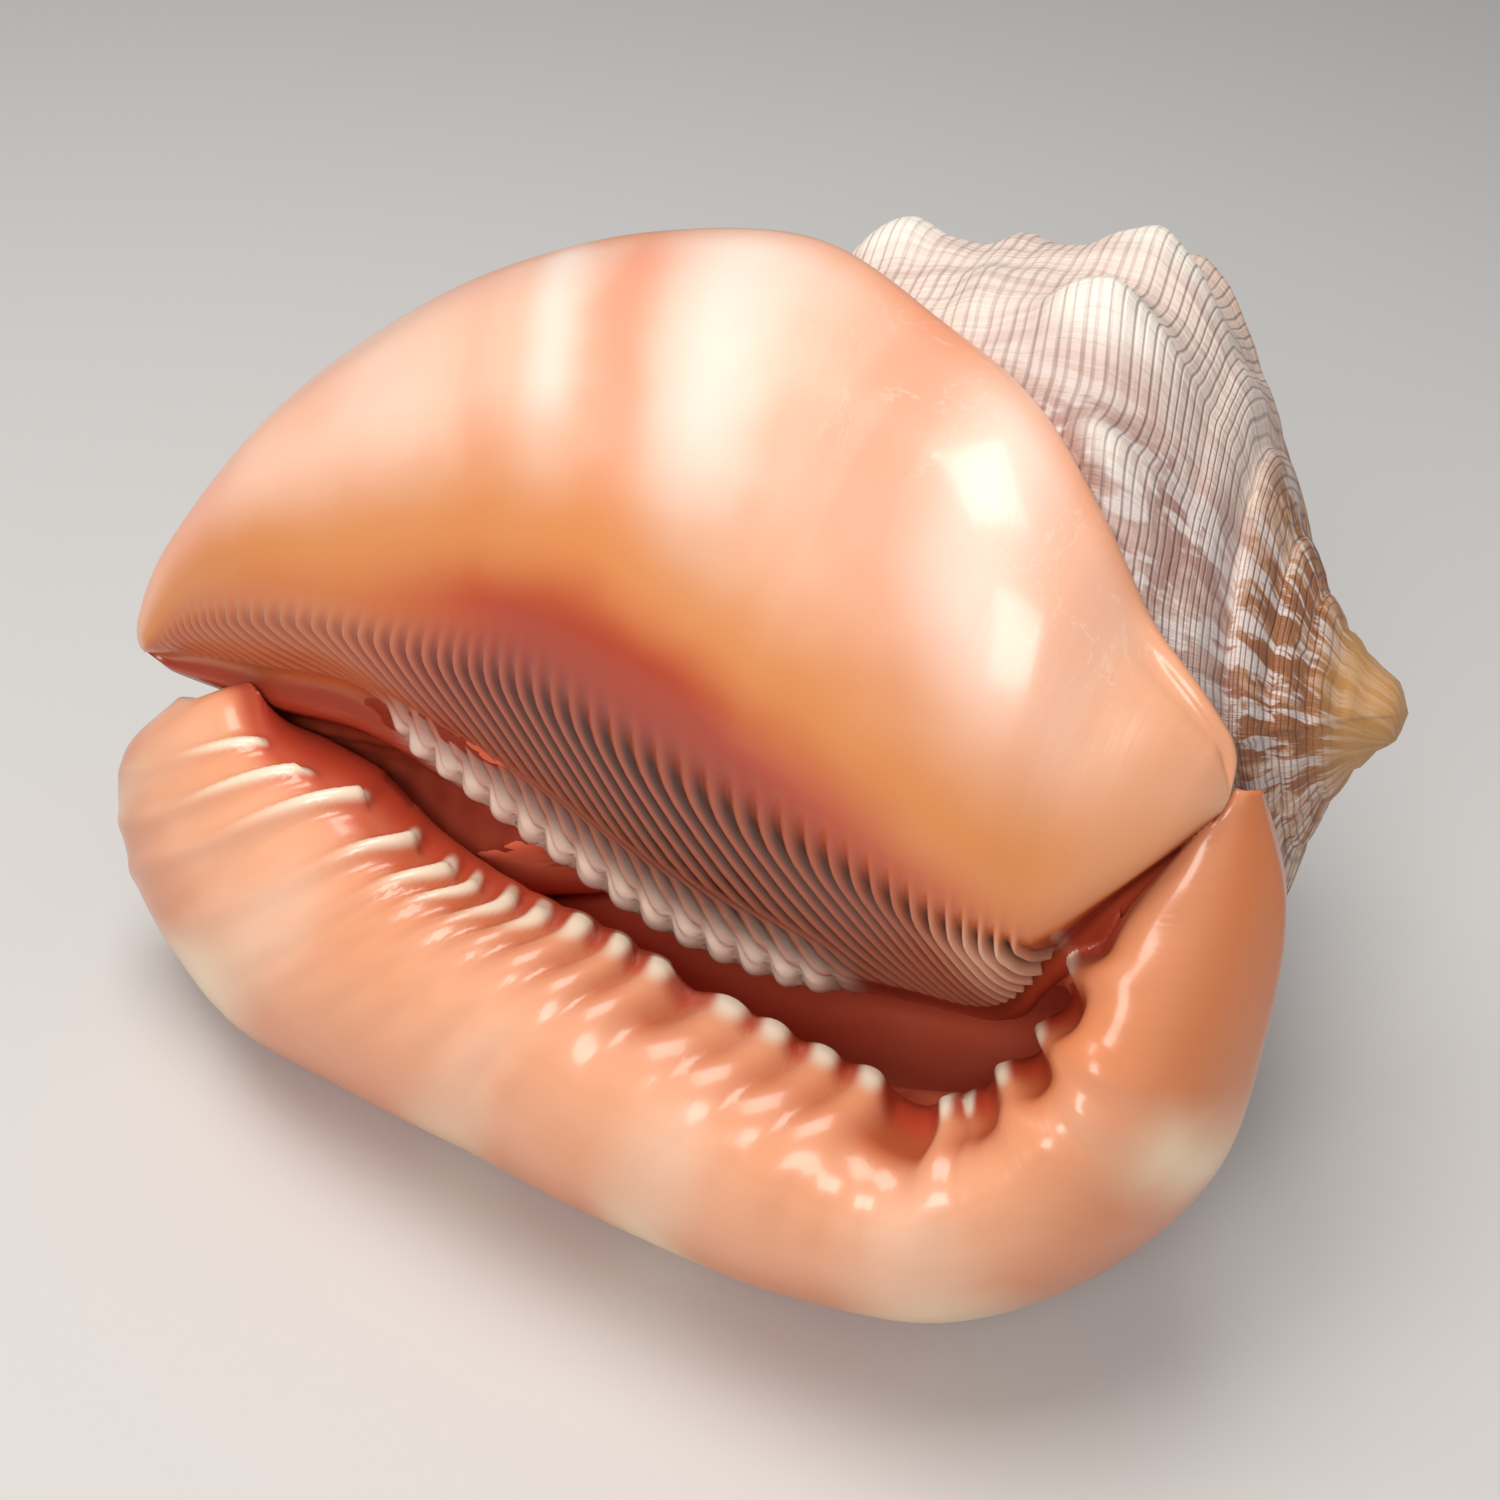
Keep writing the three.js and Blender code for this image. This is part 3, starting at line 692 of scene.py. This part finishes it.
# ---------------------------------------------------------------------------------------------------------
# finishes
# ---------------------------------------------------------------------------------------------------------
def body_finish():
    f = Finish("weathered back")
    x, y, z = f.split("place")
    arc, seam, knob = f.split("mark")
    far = (y * y + z * z) ** 0.5
    turns = y.angle(z) / TURN
    round_y = y / far.most(0.5) * 45
    round_z = z / far.most(0.5) * 45
    grown = f.vector(round_y, round_z, arc * 0.05)
    solid_at = f.vector(x, y, z)
    lines = f.noise(grown, 0.55, 4, 0.6)
    fine_lines = f.noise(grown, 1.6, 2, 0.6)
    blotch = f.noise(f.vector(round_y, round_z, arc * 1.3), 0.085, 3, 0.6, 0.8)
    flame = f.noise(f.vector(round_y * 1.5, round_z * 1.5, arc * 0.7), 0.16, 3, 0.6, 0.25)
    sway = f.noise(grown, 0.08, 1) * 1.6
    thread = ((arc + sway) / 2.5).part()
    faint = f.noise(f.vector(round_y, round_z, arc * 0.4), 0.12, 2, 0.6).between(0.30, 0.62)
    double = thread.near(0.27, 0.13).most(thread.near(0.72, 0.11) * 0.75)
    broad = ((arc + sway) / 7.5).part().near(0.5, 0.25)

    tip = x.between(134.5, 138.5)
    spire = arc.between(150, 160)
    beside = turns.between(0.20, 0.13) * turns.between(0.02, 0.06) * x.between(100, 106)
    back = turns.between(0.26, 0.34).most(turns.between(-0.08, -0.16))
    cream = f.blend(f.noise(solid_at, 0.05, 2), paint("#f6e7da"), paint("#eed3c6"))
    colour = f.blend(lines.between(0.44, 0.66) * 0.5, cream, paint("#c9a9a2"))
    colour = f.blend(beside * (0.55 + 0.4 * blotch.between(0.4, 0.55)), colour, paint("#b0857a"))
    colour = f.blend(back * 0.5, colour, paint("#dcb08e"))
    rust = f.blend(blotch.between(0.42, 0.58), paint("#c48a55"), paint("#a0653f"))
    colour = f.blend(spire * (0.5 + 0.5 * blotch.between(0.40, 0.52)), colour, rust)
    colour = f.blend(beside.most(spire) * flame.between(0.50, 0.58) * 0.85, colour, paint("#e9dcd6"))
    colour = f.blend(back * blotch.between(0.5, 0.6) * 0.7, colour, paint("#a8633f"))
    colour = f.blend(back * knob.between(0.6, 2.6) * 0.85, colour, paint("#d9925f"))
    # the tops of the knobs on the near side are painted near white: a painted highlight
    colour = f.blend((1 - back) * knob.between(1.0, 3.4) * 0.75, colour, paint("#fdf5ea"))
    colour = f.blend(tip * 0.85, colour, paint("#c9965a"))
    thin = double * (1 - tip) * (0.14 + 0.26 * faint + 0.2 * spire + 0.2 * beside)
    thin = thin * (1 - knob.between(1, 3) * 0.6)
    colour = f.blend(thin, colour, paint("#7a5650"))
    step = seam.near(0.0, 0.06).most(seam.near(1.0, 0.06))
    colour = f.blend(step * spire * 0.6 * (1 - tip), colour, paint("#6d4234"))
    colour = f.blend(fine_lines.between(0.56, 0.72) * 0.22, colour, paint("#a58078"))
    mouth = turns.between(-0.21, -0.19) * turns.between(0.05, 0.035) * x.between(124, 120)
    colour = f.blend(mouth, colour, paint("#9c3a22"))
    height = (fine_lines * 0.4 + lines * 0.6 - double * 0.35 * (1 - tip) + broad * 0.25 * (1 - tip)
              + f.noise(solid_at, 1.4, 3) * 0.12)
    rough = 0.46 + f.noise(solid_at, 0.6, 3) * 0.22
    f.shade(colour, rough, height * (1 - tip * 0.7) * (1 - mouth), 0.55)
    return f.material


def shield_finish():
    f = Finish("shield callus")
    x, y, z = f.split("place")
    s, over, groove = f.split("mark")
    rope, ridge, last = f.split("extra")
    at = f.vector(x, y, z)
    cloud = f.noise(at, 0.03, 3, 0.55)
    streak = f.noise(f.vector(s * 60, over * 2.2, 0.0), 0.35, 2, 0.5, 0.3)
    wisp = f.noise(f.vector(s * 26, over * 6, 1.7), 0.7, 4, 0.6, 1.2)
    along = s + (cloud - 0.5) * 0.06 - (over - 0.45) * 0.07
    high = over.between(0.95, 0.45)
    cream = (along.near(0.392, 0.030) * high + along.near(0.497, 0.052) * over.between(1.0, 0.7)
             + along.near(0.705, 0.075) * over.between(0.85, 0.45) * 0.65
             + along.near(0.27, 0.05) * 0.25).least(1)
    warm = (along.near(0.440, 0.034) * high + along.near(0.605, 0.075) * over.between(0.8, 0.2) * 0.9
            + along.near(0.335, 0.030) * 0.3 + along.near(0.10, 0.08) * 0.5).least(1)
    peach = f.blend(cloud.between(0.35, 0.65), paint("#fbc9ae"), paint("#f6bb9f"))
    peach = f.blend(s.between(0.66, 0.84) * 0.7, peach, paint("#efb594"))
    colour = f.blend(warm * 0.75, peach, paint("#f29b78"))
    colour = f.blend(cream * 0.85, colour, paint("#fdeadb"))
    colour = f.blend(streak.between(0.5, 0.75) * 0.22, colour, paint("#fde0c8"))
    veins = wisp.near(0.52, 0.014) * over.between(0.7, 0.2) * s.between(0.5, 0.6) * 0.28
    colour = f.blend(veins, colour, paint("#fde6d4"))
    rim = over.between(0.14, 0.0)
    colour = f.blend(rim * 0.45, colour, paint("#e58c58"))
    colour = f.blend(s.between(0.13, 0.02) * 0.5, colour, paint("#e79a68"))
    wobble = (f.noise(at, 0.06, 2) - 0.5) * 0.16
    inward = over + wobble
    deep_red = s.between(0.24, 0.40) * s.between(0.86, 0.62)
    colour = f.blend(inward.between(0.52, 0.86) * 0.88, colour, paint("#d8833c"))
    colour = f.blend(inward.between(0.84, 1.04) * (0.35 + 0.65 * deep_red), colour, paint("#c2502e"))
    blush = inward.between(0.93, 1.06) * s.between(0.34, 0.44) * s.between(0.68, 0.56) * 0.7
    colour = f.blend(blush, colour, paint("#ad3c26"))
    colour = f.blend(over.between(1.0, 1.45) * (0.4 + 0.6 * deep_red), colour, paint("#9c3822"))
    colour = f.blend(over.between(1.3, 1.85) * s.between(0.36, 0.52) * 0.6, colour, paint("#6b2214"))
    colour = f.blend(over.between(1.15, 1.7) * s.between(0.83, 0.87) * 0.8, colour, paint("#8a2c19"))
    tail = s.between(0.80, 0.90)
    colour = f.blend(tail * 0.75 * over.between(1.25, 0.6), colour, paint("#e9a277"))
    dark = groove * (0.25 + 0.75 * s.between(0.2, 0.5)) * over.between(1.05, 1.4)
    hollows = f.blend(s.between(0.25, 0.5), paint("#7c2416"), paint("#340d06"))
    colour = f.blend((dark * 1.6).least(1), colour, hollows)
    pale = ridge * over.between(0.98, 1.3) * (0.42 + 0.4 * last)
    colour = f.blend(pale.least(1), colour, paint("#d98c6c"))
    colour = f.blend(ridge * last * over.between(0.9, 1.3), colour, paint("#ecc1a4"))
    inside = over.between(2.02, 2.2)
    colour = f.blend(inside, colour, paint("#b0452b"))
    colour = f.blend((rope * 1.25).least(1), colour, paint("#f3dccb"))
    ripple = f.noise(f.vector(s * 150, over * 3, 0.0), 0.5, 2)
    height = ripple * 0.12 + cloud * 0.4 + f.noise(at, 0.9, 2) * 0.03
    rough = 0.24 + f.noise(at, 0.25, 3) * 0.14
    f.shade(colour, rough, height, 0.25, 0.35)
    return f.material


def lip_finish():
    f = Finish("rolled lip")
    x, y, z = f.split("place")
    s, out, tooth = f.split("mark")
    tip, between, _ = f.split("extra")
    at = f.vector(x, y, z)
    cloud = f.noise(at, 0.04, 3, 0.55)
    drift = (cloud - 0.5) * 0.05
    along = s + drift
    pale = (along.near(0.245, 0.05) + along.near(0.40, 0.035) * 0.7 + along.near(0.515, 0.035)
            + along.near(0.665, 0.055) + along.near(0.812, 0.035) + along.near(0.10, 0.03) * 0.5).least(1)
    side = out.between(2.6, 4.0)
    colour = f.blend(cloud.between(0.35, 0.65), paint("#f5b28c"), paint("#f0a67c"))
    colour = f.blend(pale * out.between(0.9, 2.2) * 0.35, colour, paint("#fbdcc4"))
    colour = f.blend(side * 0.8, colour, paint("#da7f4a"))
    colour = f.blend(pale * side * 0.9, colour, paint("#f9dcb6"))
    # towards the outer edge and underside the lip is a deeper orange: partly its own colour, partly painted
    # shade on the side that faces down
    colour = f.blend(out.between(4.6, 6.4) * 0.55, colour, paint("#c4602f"))
    colour = f.blend(s.between(0.70, 0.86) * 0.6 * (1 - pale * side), colour, paint("#d8783f"))
    colour = f.blend(out.between(1.9, 0.3) * 0.45, colour, paint("#e58a5c"))
    # between the teeth the lip is painted a darker orange-brown: painted shade cast by the teeth
    painted_tooth_shade = (between * 1.2).least(1) * 0.85 * (1 - (tooth * 0.5).least(1)) * s.between(0.1, 0.3)
    colour = f.blend(painted_tooth_shade, colour, paint("#b34a22"))
    inside = out.between(0.1, -0.35)
    colour = f.blend(inside, colour, paint("#c54c31"))
    red_end = s.between(0.34, 0.14) * out.between(1.3, 0.3)
    colour = f.blend(red_end * 0.8, colour, paint("#cf5038"))
    colour = f.blend(tip.between(0.25, 0.85), colour, paint("#fae6cc"))
    ripple = f.noise(f.vector(s * 260, out * 1.5, 0.0), 0.4, 2)
    grain = f.noise(at, 0.5, 3)
    height = ripple * 0.35 * out.near(2.6, 2.2) + cloud * 0.35 + grain * 0.06
    rough = 0.24 + f.noise(at, 0.25, 3) * 0.14
    f.shade(colour, rough, height, 0.3, 0.35)
    return f.material


def hollow_finish():
    f = Finish("inner wall")
    x, y, z = f.split("place")
    depth, _, _ = f.split("mark")
    at = f.vector(x, y, z)
    cloud = f.noise(at, 0.05, 3)
    colour = f.blend(cloud.between(0.35, 0.65), paint("#ff8a68"), paint("#fb7c5a"))
    colour = f.blend(x.between(80, 20) * 0.7, colour, paint("#f0684a"))
    # deeper into the hollow the red is darker: painted shade
    colour = f.blend(depth.between(0.5, 0.8), colour, paint("#c85236"))
    height = cloud * 0.5 + f.noise(at, 0.8, 2) * 0.06
    f.shade(colour, 0.34 + cloud * 0.1, height, 0.2, 0.2)
    return f.material


# ---------------------------------------------------------------------------------------------------------
# build
# ---------------------------------------------------------------------------------------------------------
FINISHES = [body_finish(), hollow_finish(), shield_finish(), lip_finish()]
BODY, HOLLOW, SHIELD, LIP = range(4)

SOFT_JOINS = ((HOLLOW, LIP), (HOLLOW, SHIELD), (SHIELD, LIP), (BODY, HOLLOW))

body = solid("body", *body_grid(*BODY_GRID), None, FINISHES[BODY])
hollow = solid("hollow", *hollow_grid(*HOLLOW_GRID), None, FINISHES[HOLLOW])
shield = solid("shield", *shield_grid(SHIELD_ROWS), FINISHES[SHIELD])
lip = solid("lip", *lip_grid(LIP_ROWS), FINISHES[LIP])
mesh = join_up(body, [("DIFFERENCE", hollow), ("UNION", shield), ("UNION", lip)])
finish_of = [mesh.materials.find(m.name) for m in FINISHES]
soften_seams(mesh, [(finish_of[a], finish_of[b]) for a, b in SOFT_JOINS], 3, 6)
mesh.name = "conch_shell"
co = np.empty(len(mesh.vertices) * 3, dtype=np.float64)
mesh.vertices.foreach_get("co", co)
own = (co.reshape(-1, 3) * 1000 - LIES_AT) @ LYING
place = mesh.attributes.new("place", "FLOAT_VECTOR", "POINT")
place.data.foreach_set("vector", own.astype(np.float32).ravel())
mesh.polygons.foreach_set("use_smooth", [True] * len(mesh.polygons))
conch = bpy.data.objects.new("conch_shell", mesh)
bpy.context.scene.collection.objects.link(conch)

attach(conch, "root")
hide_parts("shell")


# ---------------------------------------------------------------------------------------------------------
# floor, light and camera
# ---------------------------------------------------------------------------------------------------------
def floor():
    mesh = bpy.data.meshes.new("floor")
    mesh.from_pydata([(-3, -3, 0), (3, -3, 0), (3, 3, 0), (-3, 3, 0)], [], [(0, 1, 2, 3)])
    f = Finish("pale floor")
    surface = f.node(
        "ShaderNodeBsdfPrincipled", None, {"Base Color": (0.70, 0.69, 0.68, 1), "Roughness": 0.75})
    end = f.node("ShaderNodeOutputMaterial")
    f.tree.links.new(surface.outputs[0], end.inputs[0])
    mesh.materials.append(f.material)
    made = bpy.data.objects.new("floor", mesh)
    bpy.context.scene.collection.objects.link(made)


def lamp(name, at, towards, size, power, colour):
    light = bpy.data.lights.new(name, "AREA")
    light.size = size
    light.energy = power
    light.color = colour
    made = bpy.data.objects.new(name, light)
    bpy.context.scene.collection.objects.link(made)
    made.location = at
    made.rotation_euler = (Vector(at) - Vector(towards)).to_track_quat("Z", "Y").to_euler()


CAMERA_YAW = math.radians(24)
CAMERA_PITCH = math.radians(10)
CAMERA_AIM = np.array([76.0, -4.0, 8.0])
CAMERA_DISTANCE = 230.0


def camera():
    """Looks at the shell from the apex side of the mouth and a little above."""
    yaw, pitch = CAMERA_YAW, CAMERA_PITCH
    out = np.array([math.sin(yaw) * math.cos(pitch), math.sin(pitch), math.cos(yaw) * math.cos(pitch)])
    side = np.cross([0, 1, 0], out)
    side = side / np.linalg.norm(side)
    up = np.cross(out, side)
    at = CAMERA_AIM + out * CAMERA_DISTANCE
    axes = (LYING @ np.stack([side, up, out], 1))
    spot = lay_down(at)
    data = bpy.data.cameras.new("camera")
    data.sensor_width = 36
    data.lens = 51.1
    data.clip_start = 0.01
    made = bpy.data.objects.new("camera", data)
    bpy.context.scene.collection.objects.link(made)
    made.matrix_world = Matrix([[*axes[i], spot[i]] for i in range(3)] + [[0, 0, 0, 1]])
    bpy.context.scene.camera = made


floor()
lamp("overhead softbox", (-0.10, -0.06, 0.62), (0.0, 0.0, 0.05), 0.34, 2.4, (1.0, 0.97, 0.93))
lamp("front fill", (0.05, -0.62, 0.50), (0.0, -0.02, 0.04), 0.30, 2.5, (1.0, 0.96, 0.92))
world = bpy.data.worlds.new("studio")
world.use_nodes = True
world.node_tree.nodes["Background"].inputs[0].default_value = (0.75, 0.77, 0.80, 1)
world.node_tree.nodes["Background"].inputs[1].default_value = 0.30
bpy.context.scene.world = world
bpy.context.scene.view_settings.view_transform = "Standard"
camera()
